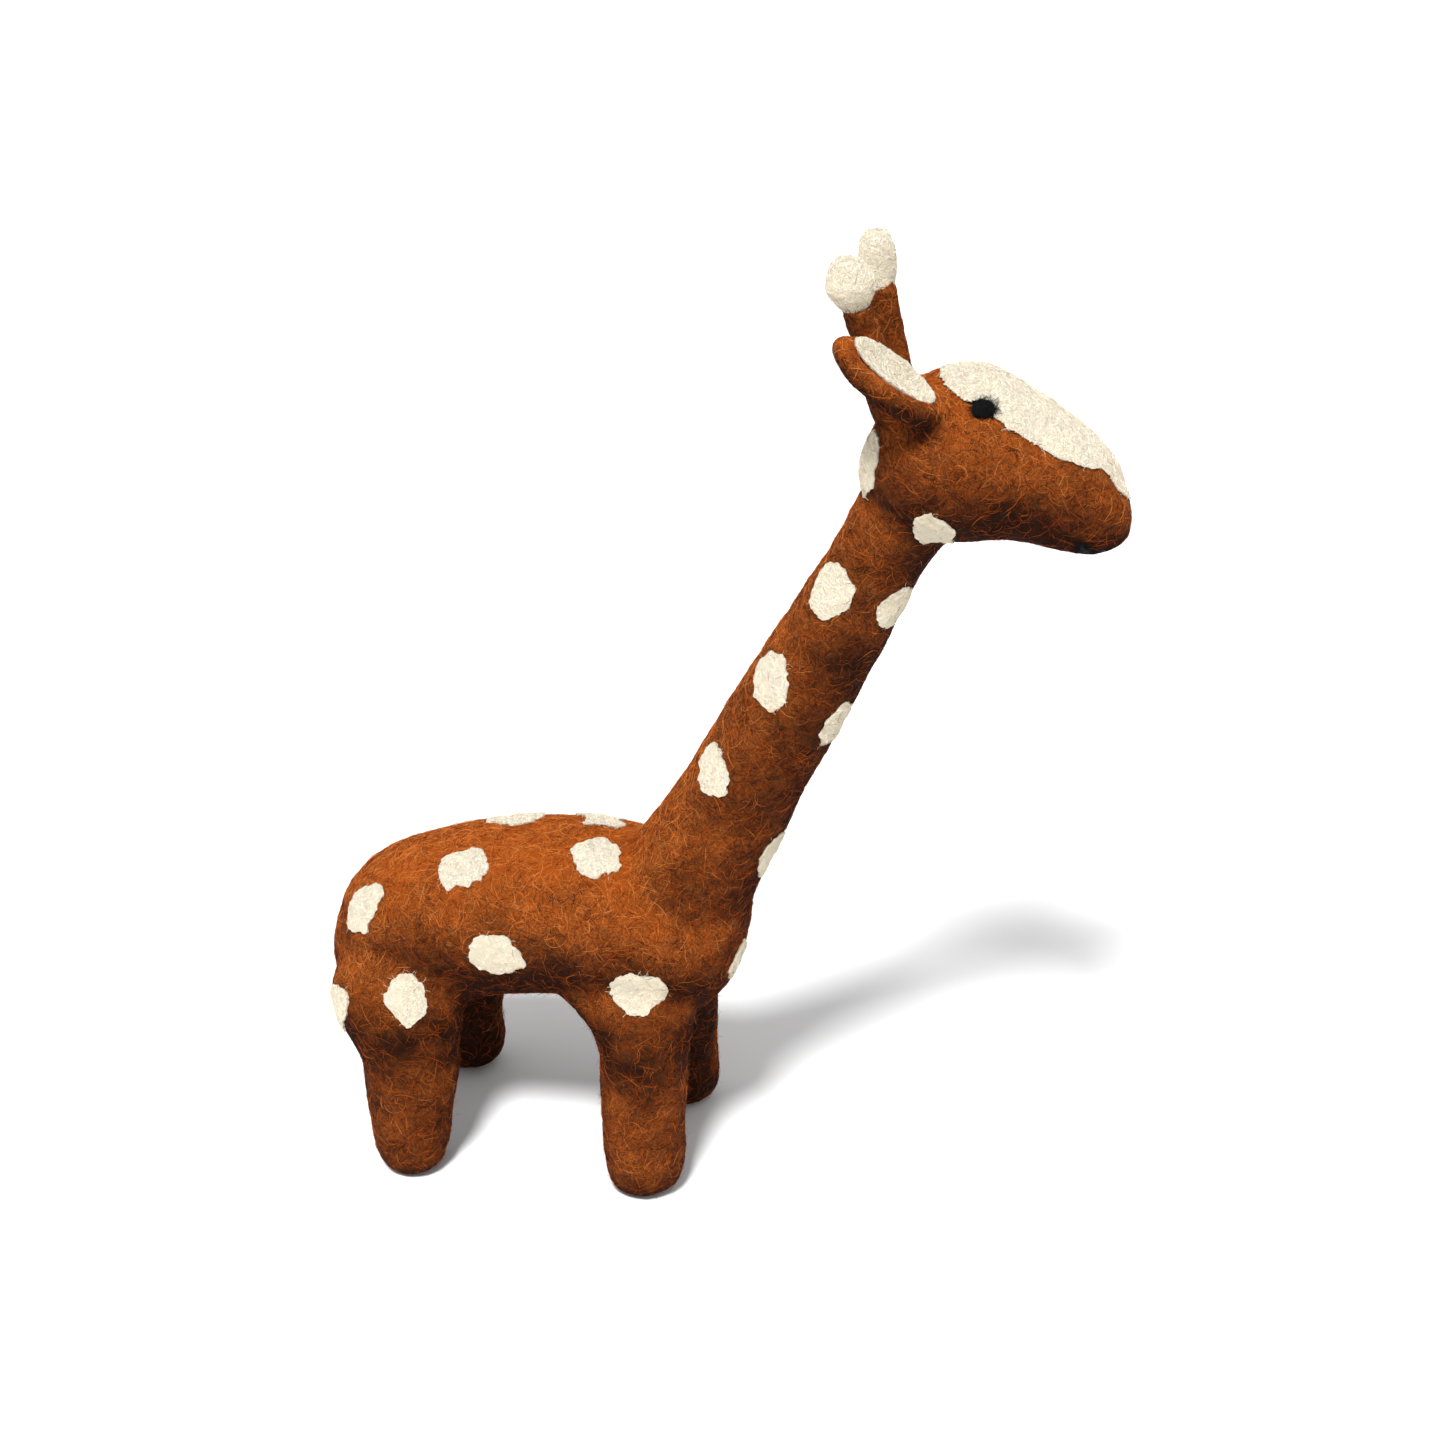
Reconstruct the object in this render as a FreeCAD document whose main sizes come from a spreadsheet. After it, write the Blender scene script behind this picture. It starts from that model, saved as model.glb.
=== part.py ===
import FreeCAD, Part
import Sketcher
import math
import os

# A needle-felted wool giraffe, about 25 cm tall, standing on four stub legs.
# It faces +X, its right side is -Y, and it stands on the plane Z = 0 with its bounding box centred on the
# origin.
# Inside, a bent wire armature is wound with undyed core wool. A layer of brown wool covers each core,
# and the spots, the face, the ears' linings and the eyes are patches of wool needled onto that layer.

doc = FreeCAD.newDocument("felt_giraffe")
sheet = doc.addObject("Spreadsheet::Sheet", "sizes")
V = FreeCAD.Vector
Turn = FreeCAD.Rotation
RIGHT, LEFT = "right", "left"


# ---------------------------------------------------------------- the sheet
used_names = []


def put_sizes(named_values):
    """Adds one row to the sheet for each size: its name in column A and its number in column B."""
    for name, number in named_values:
        used_names.append(name)
        line = len(used_names)
        sheet.set(f"A{line}", name)
        sheet.set(f"B{line}", str(number))
        sheet.setAlias(f"B{line}", name)


def put_table(columns, rows):
    """Adds the named rows of a table, so that row spine and column x become the size spine_x."""
    put_sizes([(f"{row[0]}_{column}", number) for row in rows for column, number in zip(columns, row[1:])])


def size(name):
    return float(sheet.get(name))


put_sizes([
    ("cover_thick", 2.5),      # the layer of brown wool over a core
    ("patch_thick", 0.8),      # how far a felted patch stands out of the cover
    ("wire_thick", 2.0),
    ("wire_bend", 9.0),
    ("wire_gap", 0.2),         # between wires that cross
    ("wire_foot_height", 9.0),  # where a leg's wire ends above the ground
    ("tape_radius", 5.0),      # the windings that tie the legs' wires to the spine wire
    ("tape_length", 13.0),
    ("neck_foot_x", -15.8),    # the neck's axis starts here, inside the chest
    ("neck_foot_z", 63.3),
    ("neck_lean", 63.5),       # degrees above the horizontal
    ("torso_axis_z", 65.0),    # spots on the torso and on the head are placed around these levels
    ("head_axis_z", 203.0),
    ("spot_reach", 60.0),
])

# The torso and the head are ellipses square to X. along is X, centre is their height above the ground,
# and tall and wide are their half height and half width.
ACROSS_COLUMNS = ("along", "centre", "tall", "wide")
put_table(ACROSS_COLUMNS, [
    ("torso_1", -101.9, 54, 5, 6),
    ("torso_2", -99.4, 54.5, 12, 13),
    ("torso_3", -92.4, 58, 18.5, 20),
    ("torso_4", -81.4, 61, 21.5, 24),
    ("torso_5", -66.4, 65, 23, 25.5),
    ("torso_6", -50.4, 67.8, 23, 25.5),
    ("torso_7", -35.4, 69.3, 23.2, 25),
    ("torso_8", -22.4, 68.6, 23.5, 24.5),
    ("torso_9", -10.4, 66.5, 22, 23),
    ("torso_10", -1.4, 66, 19.5, 20),
    ("torso_11", 5.6, 69, 14.5, 14.8),
    ("torso_12", 9, 71.5, 7, 7.2),
])
put_table(ACROSS_COLUMNS, [
    ("head_1", 36.1, 200.3, 5, 4.5),
    ("head_2", 39.1, 200.8, 11, 10),
    ("head_3", 44.6, 202.3, 16.8, 15.2),
    ("head_4", 53.6, 204, 21, 19),
    ("head_5", 63.6, 205, 21.1, 19.2),
    ("head_6", 71.6, 204, 19.5, 17.8),
    ("head_7", 79.6, 201.3, 17.8, 16),
    ("head_8", 87.6, 198.4, 15.6, 13.8),
    ("head_9", 94.6, 195.3, 11.8, 10.4),
    ("head_10", 99.1, 192.5, 7, 6.4),
    ("head_11", 101.1, 191.3, 3, 2.8),
])
# The neck is round, with its stations placed along its axis.
put_table(("along", "radius"), [
    ("neck_1", 0, 17.5),
    ("neck_2", 20, 17.9),
    ("neck_3", 42, 15.2),
    ("neck_4", 61, 14.3),
    ("neck_5", 78, 13.7),
    ("neck_6", 95, 13.2),
    ("neck_7", 110, 12.3),
    ("neck_8", 124, 11.7),
    ("neck_9", 142, 12.4),
])
# The legs are level ellipses: out is the distance from the middle plane, and long and wide are their
# half sizes along X and along Y.
LEG_COLUMNS = ("height", "along", "out", "long", "wide")
put_table(LEG_COLUMNS, [
    ("hind_1", 0, -76.4, 26, 6, 6),
    ("hind_2", 1.6, -76.2, 26, 8.3, 8.3),
    ("hind_3", 5, -76, 25.6, 10, 10),
    ("hind_4", 12, -76.3, 24.4, 11, 11),
    ("hind_5", 24, -76.7, 22.5, 12.6, 12),
    ("hind_6", 36, -78.7, 20, 14.8, 13.2),
    ("hind_7", 47, -80.9, 17.5, 18, 13.8),
    ("hind_8", 56, -80.4, 15, 15.5, 12),
    ("hind_9", 63, -80.4, 12, 10, 9),
])
put_table(LEG_COLUMNS, [
    ("front_1", 0, -13.9, 22.2, 6, 6),
    ("front_2", 1.6, -13.7, 22.2, 8.5, 8.4),
    ("front_3", 5, -13.6, 21.9, 10.1, 10.1),
    ("front_4", 12, -13.9, 20.9, 11, 11),
    ("front_5", 24, -14.2, 19.4, 11.4, 11.2),
    ("front_6", 36, -14.4, 17.2, 11.8, 11.8),
    ("front_7", 46, -16.1, 15.4, 14.2, 12.6),
    ("front_8", 54, -20.6, 13.2, 19.6, 11.5),
    ("front_9", 62, -19, 10.5, 13, 9),
])
# The points of the middle plane that the spine wire passes.
put_table(("x", "z"), [
    ("rump_end", -86, 62),
    ("withers", -16.5, 62),
    ("nape", 43.6, 182.4),
    ("muzzle_end", 88, 196),
])
# The points of the head's ears, horns and eyes, where out is the distance from the middle plane.
put_table(("x", "out", "z"), [
    ("ear_right_root", 55.4, 13.5, 217.5),
    ("ear_right_tip", 34.4, 27, 241),
    ("ear_left_root", 44.5, 16, 211.5),   # the left ear lies further back than the right one
    ("ear_left_tip", 25, 27, 219),
    ("ear_right_face", 0.74, 0.21, 0.64),   # the way that an ear's dish faces
    ("ear_left_face", 0.5, 0.05, 0.87),
    ("horn_root", 45, 6, 212),
    ("ball", 34.3, 10, 248.2),      # the right horn ends in a ball
    ("knob", 36.8, 10, 247.2),      # the left horn ends in a longer knob
    ("eye", 66.2, 11.8, 221.4),
])
put_sizes([
    ("ear_half_width", 8.0),
    ("ear_half_thick", 5.4),
    ("ear_dish_radius", 5.2),       # the dish of the ear's inner face, as deep as the middle of the ear
    ("ear_rim", 2.3),               # the brown rim round the lining
    ("ear_dish_shift", 1.6),        # how far the dish lies towards the crown of the head
    ("horn_root_radius", 4.6),
    ("horn_tip_radius", 3.9),
    ("ball_radius", 5.6),
    ("ball_half_length", 6.8),
    ("knob_radius", 4.5),
    ("knob_half_length", 7.8),
    ("eye_half_length", 3.2),
    ("eye_half_width", 2.7),
    ("eye_half_thick", 1.9),
    ("eye_around", 57),
    ("face_width", 60),
])
# The face patch covers the top of the head above this broken line, seen from the side.
put_table(("x", "z"), [
    ("face_rear", 53.5, 225.9),
    ("face_brow", 66.1, 221.6),
    ("face_cheek", 84, 210.8),
    ("face_muzzle", 94.5, 206),
    ("face_nose", 104, 192),
    ("face_top", 106, 240),
    ("face_crown", 53.5, 240),
])

# A spot lies where a line square to its host's axis leaves the body. along is its distance along the
# axis, around is the angle from the right side up over the back, and slant tilts its long axis.
SPOT_COLUMNS = ("along", "around", "long", "wide", "slant")
SPOTS = [
    ("flank_spot_right_1", "torso", -63, 56, 14, 12, 15),
    ("flank_spot_right_2", "torso", -28.5, 69, 14, 13, 30),
    ("flank_spot_right_3", "torso", -51.5, 4, 14, 11, 0),
    ("flank_spot_right_4", "torso", -14.5, -12, 15, 11, 0),
    ("rump_spot_right", "torso", -89.5, 20, 15, 9, 60),
    ("thigh_spot_right", "hind_leg_right", 52, -28, 11.5, 11, 0),
    ("thigh_spot_rear", "hind_leg_right", 45, 62, 14, 10, 0),
    ("flank_spot_left_1", "torso", -70, 142, 14, 12, -10),
    ("flank_spot_left_2", "torso", -33, 118, 14, 12, -25),
    ("flank_spot_left_3", "torso", -48, 176, 14, 11, 10),
    ("flank_spot_left_4", "torso", -17, 191, 14, 12, 0),
    ("rump_spot_left", "torso", -87, 158, 14, 9, 120),
    ("thigh_spot_left", "hind_leg_left", 50, 198, 12, 12, 0),
    ("back_spot_front", "torso", -31, 103, 10.5, 9, 0),
    ("back_spot_rear", "torso", -55, 108, 15, 11, 0),
    ("neck_spot_right_1", "neck", 117, 33, 13.5, 12, 0),
    ("neck_spot_right_2", "neck", 88, 36, 14.5, 11.5, 45),
    ("neck_spot_right_3", "neck", 58, 38, 14, 9.5, 55),
    ("neck_spot_left_1", "neck", 114, 150, 13, 11, 0),
    ("neck_spot_left_2", "neck", 86, 142, 14, 9, -45),
    ("neck_spot_left_3", "neck", 56, 146, 13, 9, -50),
    ("neck_spot_front_1", "neck", 120, -55, 12, 10, 0),
    ("neck_spot_front_2", "neck", 84, -66, 13, 9, 0),
    ("throat_spot_right", "neck", 145.5, -30, 12.5, 9.5, 90),
    ("throat_spot_left", "neck", 147, 212, 12, 10, 0),
    ("nape_spot", "neck", 149, 65, 17, 12, 0),
    ("chest_spot_upper", "neck", 41, -75, 14, 10, 0),
    ("chest_spot_lower", "neck", 9.5, -74, 11.5, 8.5, 0),
    ("mouth", "head", 90.6, -90, 20, 5, 90),
]
put_table(SPOT_COLUMNS, [(name, *numbers) for name, host, *numbers in SPOTS])
doc.recompute()


# ---------------------------------------------------------------- small builders
def add(kind, name, **properties):
    made = doc.addObject(kind, name)
    for key, setting in properties.items():
        setattr(made, key, setting)
    return made


def bind(made, **expressions):
    for key, expression in expressions.items():
        made.setExpression(key.replace("__", "."), str(expression))
    return made


def place(made, x, y, z):
    return bind(made, Placement__Base__x=x, Placement__Base__y=y, Placement__Base__z=z)


def fuse(name, shapes):
    return add("Part::MultiFuse", name, Shapes=shapes)


def common(name, shapes):
    return add("Part::MultiCommon", name, Shapes=shapes)


def cut(name, base, *tools):
    """The base less every tool."""
    if len(tools) == 1:
        return add("Part::Cut", name, Base=base, Tool=tools[0])
    return add("Part::Cut", name, Base=base, Tool=fuse(f"{name}_tools", list(tools)))


def mirror(name, source):
    return add("Part::Mirroring", name, Source=source, Normal=V(0, 1, 0), Base=V(0, 0, 0))


# ---------------------------------------------------------------- lofted bodies
SQUARE_TO_X_WIDE = Turn(V(0, 1, 0), V(0, 0, 1), V(1, 0, 0), "ZXY")   # the ellipse's long axis along Y
SQUARE_TO_X_TALL = Turn(V(0, 0, 1), V(0, -1, 0), V(1, 0, 0), "ZXY")  # the ellipse's long axis along Z
OUTSIDE, CORE, PATCH = "0", "sizes.cover_thick", "(0 - sizes.patch_thick)"


def stations(part):
    return sum(name.startswith(f"{part}_") and name.endswith("_along") and name[len(part) + 1].isdigit()
               for name in used_names)


def ring(name, turn, x, y, z, long_radius, short_radius):
    made = add("Part::Ellipse", name, Placement=FreeCAD.Placement(V(0, 0, 0), turn))
    # Wide apart, so that neither radius passes the other while they are set.
    made.MajorRadius, made.MinorRadius = 100, 50
    bind(made, MajorRadius=long_radius, MinorRadius=short_radius)
    return place(made, x, y, z)


def end_shift(number, last, inset):
    """Moves a loft's first and last rings inwards, by as much as its other rings are smaller."""
    if number == 1:
        return f" + {inset}"
    return f" - {inset}" if number == last else ""


def across_loft(name, part, inset):
    """The torso, wider than it is tall, or the head, taller than it is wide."""
    last = stations(part)
    turn, long_side, short_side = (
        (SQUARE_TO_X_WIDE, "wide", "tall") if part == "torso" else (SQUARE_TO_X_TALL, "tall", "wide"))
    rings = []
    for number in range(1, last + 1):
        cell = f"sizes.{part}_{number}_"
        rings.append(ring(f"{name}_ring_{number}", turn, f"{cell}along{end_shift(number, last, inset)}", 0,
                          f"{cell}centre", f"{cell}{long_side} - {inset}", f"{cell}{short_side} - {inset}"))
    return add("Part::Loft", name, Sections=rings, Solid=True, Ruled=False)


def neck_loft(name, inset):
    last = stations("neck")
    turn = Turn(V(0, 1, 0), 90 - size("neck_lean"))
    rings = []
    for number in range(1, last + 1):
        cell = f"sizes.neck_{number}_"
        along = f"({cell}along{end_shift(number, last, inset)})"
        radius = f"{cell}radius - {inset}"
        rings.append(ring(f"{name}_ring_{number}", turn,
                          f"sizes.neck_foot_x + {along} * cos(sizes.neck_lean * 1 deg)", 0,
                          f"sizes.neck_foot_z + {along} * sin(sizes.neck_lean * 1 deg)", radius, radius))
    return add("Part::Loft", name, Sections=rings, Solid=True, Ruled=False)


def leg_loft(name, pair, inset):
    """A right leg, of level rings, so that its sole lies flat."""
    last = stations(pair)
    rings = []
    for number in range(1, last + 1):
        cell = f"sizes.{pair}_{number}_"
        rings.append(ring(f"{name}_ring_{number}", Turn(), f"{cell}along", f"0 - {cell}out",
                          f"{cell}height{end_shift(number, last, inset)}",
                          f"{cell}long - {inset}", f"{cell}wide - {inset}"))
    return add("Part::Loft", name, Sections=rings, Solid=True, Ruled=False)


def body_lofts(layer, inset):
    """The torso, head, neck and four legs, all of them smaller by the inset."""
    lofts = {
        "torso": across_loft(f"{layer}_torso", "torso", inset),
        "head": across_loft(f"{layer}_head", "head", inset),
        "neck": neck_loft(f"{layer}_neck", inset),
    }
    for pair in ("hind", "front"):
        lofts[f"{pair}_leg_right"] = leg_loft(f"{layer}_{pair}_leg_right", pair, inset)
        lofts[f"{pair}_leg_left"] = mirror(f"{layer}_{pair}_leg_left", lofts[f"{pair}_leg_right"])
    return lofts


outside = body_lofts("outside", OUTSIDE)
core = body_lofts("core", CORE)
patch = body_lofts("patch", PATCH)
LEGS = [name for name in outside if "leg" in name]


# ---------------------------------------------------------------- the wire armature
def wire_path(name, corners, bend):
    """Straight runs between the corners, joined by arcs that touch them."""
    edges = []
    start = corners[0]
    for before, corner, after in zip(corners, corners[1:], corners[2:]):
        back, forth = (before - corner).normalize(), (after - corner).normalize()
        turn = math.pi - back.getAngle(forth)
        reach = bend * math.tan(turn / 2)
        first, last = corner + back * reach, corner + forth * reach
        inward = (back + forth).normalize()
        middle = corner + inward * (bend / math.cos(turn / 2) - bend)
        edges += [Part.LineSegment(start, first).toShape(), Part.Arc(first, middle, last).toShape()]
        start = last
    edges.append(Part.LineSegment(start, corners[-1]).toShape())
    return add("Part::Feature", name, Shape=Part.Wire(edges))


def bent_wire(name, corners):
    """A round wire swept along its path."""
    path = wire_path(f"{name}_path", corners, size("wire_bend"))
    heading = corners[1] - corners[0]
    section = bind(add("Part::Circle", f"{name}_section"), Radius="sizes.wire_thick / 2")
    section.Placement = FreeCAD.Placement(corners[0], Turn(V(0, 0, 1), heading))
    edges = [f"Edge{number}" for number in range(1, len(path.Shape.Edges) + 1)]
    return add("Part::Sweep", name, Sections=[section], Spine=(path, edges), Solid=True, Frenet=False)


def leg_wire(name, pair):
    """One wire that goes down both legs of a pair and crosses under the spine wire."""
    foot, hip = f"{pair}_4", f"{pair}_9"
    top = size("withers_z") - size("wire_thick") - size("wire_gap")
    corners = [V(size(f"{foot}_along"), -size(f"{foot}_out"), size("wire_foot_height")),
               V(size(f"{hip}_along"), -size(f"{hip}_out"), top)]
    corners += [V(corner.x, -corner.y, corner.z) for corner in reversed(corners)]
    return bent_wire(name, corners)


def binding(name, pair, *wires):
    """The windings that tie a pair of legs' wire to the spine wire where they cross."""
    tape = bind(add("Part::Cylinder", f"{name}_windings"), Radius="sizes.tape_radius",
                Height="sizes.tape_length")
    tape.Placement = FreeCAD.Placement(V(0, 0, 0), Turn(V(0, 0, 1), V(1, 0, 0)))
    place(tape, f"sizes.{pair}_9_along - sizes.tape_length / 2", 0,
          "sizes.withers_z - (sizes.wire_thick + sizes.wire_gap) / 2")
    return cut(name, tape, *wires)


spine_corners = [V(size(f"{place_name}_x"), 0, size(f"{place_name}_z"))
                 for place_name in ("rump_end", "withers", "nape", "muzzle_end")]
spine_wire = bent_wire("spine_wire", spine_corners)
hind_leg_wire = leg_wire("hind_leg_wire", "hind")
front_leg_wire = leg_wire("front_leg_wire", "front")
hip_binding = binding("hip_binding", "hind", spine_wire, hind_leg_wire)
shoulder_binding = binding("shoulder_binding", "front", spine_wire, front_leg_wire)
armature = [spine_wire, hind_leg_wire, front_leg_wire, hip_binding, shoulder_binding]


# ---------------------------------------------------------------- cores and covers
leg_wires = {"hind": hind_leg_wire, "front": front_leg_wire}
cores = {
    "torso": cut("torso_core", core["torso"], *armature),
    "neck": cut("neck_core", core["neck"], core["torso"], core["head"], spine_wire),
    "head": cut("head_core", core["head"], spine_wire),
}
covers = {
    "torso": cut("torso_cover", outside["torso"], core["torso"], core["neck"],
                 *[core[leg] for leg in LEGS]),
    "neck": cut("neck_cover", outside["neck"], core["neck"], outside["torso"], outside["head"]),
    "head": cut("head_cover", outside["head"], core["head"], core["neck"]),
}
for leg in LEGS:
    cores[leg] = cut(f"{leg}_core", core[leg], core["torso"], leg_wires[leg.split("_")[0]])
    covers[leg] = cut(f"{leg}_cover", outside[leg], core[leg], outside["torso"])


# ---------------------------------------------------------------- ears and horns
def facing(x_way, z_way):
    """The turn that takes X to x_way and Z to z_way."""
    z_way = V(z_way).normalize()
    y_way = z_way.cross(x_way).normalize()
    return Turn(y_way.cross(z_way), y_way, z_way, "ZXY")


def point(name, side):
    """A point of the head's right or left side."""
    out = size(f"{name}_out")
    return V(size(f"{name}_x"), -out if side == RIGHT else out, size(f"{name}_z"))


def ellipsoid(name, centre, turn, half_x, half_y, half_z):
    made = bind(add("Part::Ellipsoid", name), Radius2=half_x, Radius3=half_y, Radius1=half_z)
    made.Placement = FreeCAD.Placement(centre, turn)
    return made


def felt_ear(side):
    """A thick leaf with a dished inner face, and the lining that lies in the dish."""
    root, tip = point(f"ear_{side}_root", side), point(f"ear_{side}_tip", side)
    face = point(f"ear_{side}_face", side).normalize()
    turn = facing(tip - root, face)
    centre = (root + tip) / 2
    across = (tip - root).cross(face).normalize()
    lining_centre = centre + across * (size("ear_dish_shift") if side == RIGHT else -size("ear_dish_shift"))
    dish_centre = lining_centre + face * size("ear_dish_radius")
    half = f"{(tip - root).Length / 2}"
    inner = (f"{half} - sizes.ear_rim", "sizes.ear_half_width - sizes.ear_rim")
    leaf = ellipsoid(f"ear_{side}_leaf", centre, turn, half, "sizes.ear_half_width", "sizes.ear_half_thick")
    dish = ellipsoid(f"ear_{side}_dish", dish_centre, turn, *inner, "sizes.ear_dish_radius")
    filled = ellipsoid(f"ear_{side}_dish_filled", dish_centre + face * size("patch_thick"), turn, *inner,
                       "sizes.ear_dish_radius")
    limit = ellipsoid(f"ear_{side}_lining_limit", lining_centre, turn, *inner, "sizes.ear_half_thick")
    layer = common(f"ear_{side}_lining_layer", [dish, limit])
    return [cut(f"ear_{side}", leaf, dish, outside["head"]),
            cut(f"ear_lining_{side}", layer, filled, outside["head"])]


def horn(side, tip_name, tip_half_length, tip_radius):
    """A brown stem that leans back and out from the head, and the pale tip on its end."""
    root, tip = point("horn_root", side), point(tip_name, side)
    turn = Turn(V(0, 0, 1), tip - root)
    stem = bind(add("Part::Cone", f"horn_cone_{side}"), Radius1="sizes.horn_root_radius",
                Radius2="sizes.horn_tip_radius", Height=f"{(tip - root).Length}")
    stem.Placement = FreeCAD.Placement(root, turn)
    knob = ellipsoid(f"horn_tip_{side}", tip, turn, tip_radius, tip_radius, tip_half_length)
    return [cut(f"horn_stem_{side}", stem, knob, outside["head"]), knob]


ears = felt_ear(RIGHT) + felt_ear(LEFT)
horns = (horn(RIGHT, "ball", "sizes.ball_half_length", "sizes.ball_radius")
         + horn(LEFT, "knob", "sizes.knob_half_length", "sizes.knob_radius"))


# ---------------------------------------------------------------- eyes and face
def eye_bead(side):
    angle = math.radians(size("eye_around"))
    way = V(0, -math.cos(angle) if side == RIGHT else math.cos(angle), math.sin(angle))
    return ellipsoid(f"eye_bead_{side}", point("eye", side), facing(V(1, 0, 0), way),
                     "sizes.eye_half_length", "sizes.eye_half_width", "sizes.eye_half_thick")


def side_prism(name, corners, width):
    """A block whose outline, seen from the side, has these corners."""
    body = add("PartDesign::Body", f"{name}_body")
    sketch = body.newObject("Sketcher::SketchObject", f"{name}_outline")
    plane = next(feature for feature in body.Origin.OriginFeatures if feature.Role == "XZ_Plane")
    sketch.AttachmentSupport = [(plane, "")]
    sketch.MapMode = "FlatFace"
    spots = [V(size(f"{corner}_x"), size(f"{corner}_z"), 0) for corner in corners]
    for start, end in zip(spots, spots[1:] + spots[:1]):
        sketch.addGeometry(Part.LineSegment(start, end), False)
    for number, corner in enumerate(corners):
        sketch.addConstraint(Sketcher.Constraint("Coincident", number, 2, (number + 1) % len(corners), 1))
        for kind, axis in (("DistanceX", "x"), ("DistanceY", "z")):
            made = sketch.addConstraint(Sketcher.Constraint(kind, number, 1, size(f"{corner}_{axis}")))
            sketch.renameConstraint(made, f"{corner}_{axis}")
            sketch.setExpression(f"Constraints.{corner}_{axis}", f"sizes.{corner}_{axis}")
    pad = body.newObject("PartDesign::Pad", f"{name}_block")
    pad.Profile = sketch
    pad.Midplane = True
    pad.setExpression("Length", width)
    return body


beads = {side: eye_bead(side) for side in (RIGHT, LEFT)}
eyes = [cut(f"eye_{side}", beads[side], outside["head"]) for side in (RIGHT, LEFT)]
face_corners = [f"face_{corner}" for corner in ("rear", "brow", "cheek", "muzzle", "nose", "top", "crown")]
face_block = side_prism("face", face_corners, "sizes.face_width")
face_layer = cut("face_layer", patch["head"], outside["head"], *beads.values())
face_patch = common("face_patch", [face_block, face_layer])


# ---------------------------------------------------------------- spots
whole_outside = fuse("whole_outside", list(outside.values()))
patch_layer = cut("patch_layer", fuse("whole_patch", list(patch.values())), whole_outside)


def host_axis(host, name):
    """The expressions of a point on the host's axis, and the axis's lean above the horizontal."""
    along = f"sizes.{name}_along"
    if host == "neck":
        return (f"sizes.neck_foot_x + {along} * cos(sizes.neck_lean * 1 deg)", 0,
                f"sizes.neck_foot_z + {along} * sin(sizes.neck_lean * 1 deg)"), size("neck_lean")
    if host in ("torso", "head"):
        return (along, 0, f"sizes.{host}_axis_z"), 0
    pair, side = host.split("_leg_")
    sign = "0 - " if side == RIGHT else ""
    return (f"sizes.{pair}_7_along", f"{sign}sizes.{pair}_7_out", along), 90


def felt_spot(name, host):
    """The part of the patch layer that an oval cuts out, looking straight at the host's axis."""
    centre, lean = host_axis(host, name)
    angles = (lean, size(f"{name}_around"), size(f"{name}_slant"))
    lean, around, slant = (math.radians(angle) for angle in angles)
    along_way = V(math.cos(lean), 0, math.sin(lean))
    back_way = V(-math.sin(lean), 0, math.cos(lean))
    right_way = V(0, -1, 0)
    out_way = right_way * math.cos(around) + back_way * math.sin(around)
    side_way = back_way * math.cos(around) - right_way * math.sin(around)
    long_way = along_way * math.cos(slant) + side_way * math.sin(slant)
    oval = ring(f"{name}_oval", facing(long_way, out_way), *centre,
                f"sizes.{name}_long / 2", f"sizes.{name}_wide / 2")
    punch = add("Part::Extrusion", f"{name}_punch", Base=oval, DirMode="Custom", Dir=out_way, Solid=True)
    punch.setExpression("LengthFwd", "sizes.spot_reach")
    return common(name, [punch, patch_layer])


spots = [felt_spot(name, host) for name, host, *numbers in SPOTS]


# ---------------------------------------------------------------- checks and files
doc.recompute()
kept = armature + list(cores.values()) + list(covers.values()) + ears + horns + eyes + [face_patch] + spots
for made in kept:
    made.Label = made.Name
for made in doc.Objects:
    if {"Invalid", "Error"} & set(made.State):
        raise RuntimeError(f"{made.Name} failed: {made.State}")
os.makedirs("parts", exist_ok=True)
for made in kept:
    if made.Shape.isNull() or not made.Shape.isValid() or not made.Shape.Solids:
        raise RuntimeError(f"{made.Name} has no valid shape")
    made.Shape.exportStep(f"parts/{made.Name}.step")
    print(f"{made.Name}: {len(made.Shape.Solids)} solid, {made.Shape.Volume / 1000:.2f} cm3")
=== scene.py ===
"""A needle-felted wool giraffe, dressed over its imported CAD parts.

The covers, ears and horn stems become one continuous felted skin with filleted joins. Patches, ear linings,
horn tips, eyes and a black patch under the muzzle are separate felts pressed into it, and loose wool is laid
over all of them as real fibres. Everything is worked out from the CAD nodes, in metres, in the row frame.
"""
import math

import bmesh
import bpy
import numpy as np
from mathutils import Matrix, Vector, noise
from mathutils.bvhtree import BVHTree


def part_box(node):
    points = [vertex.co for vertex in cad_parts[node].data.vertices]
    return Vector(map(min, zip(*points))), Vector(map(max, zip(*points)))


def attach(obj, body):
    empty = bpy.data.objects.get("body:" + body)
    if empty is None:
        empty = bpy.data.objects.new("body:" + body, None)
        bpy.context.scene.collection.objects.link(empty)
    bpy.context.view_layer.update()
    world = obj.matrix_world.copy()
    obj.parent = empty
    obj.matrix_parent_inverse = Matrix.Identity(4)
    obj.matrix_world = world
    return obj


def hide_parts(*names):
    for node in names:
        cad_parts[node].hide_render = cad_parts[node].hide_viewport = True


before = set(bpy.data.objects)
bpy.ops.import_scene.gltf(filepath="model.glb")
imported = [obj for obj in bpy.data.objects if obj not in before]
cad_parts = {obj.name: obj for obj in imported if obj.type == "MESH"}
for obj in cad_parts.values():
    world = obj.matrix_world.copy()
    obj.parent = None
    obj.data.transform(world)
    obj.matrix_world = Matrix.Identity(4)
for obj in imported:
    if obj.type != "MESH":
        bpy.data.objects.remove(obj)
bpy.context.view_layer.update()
MM = 0.001
SIDES = ("right", "left")

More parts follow.
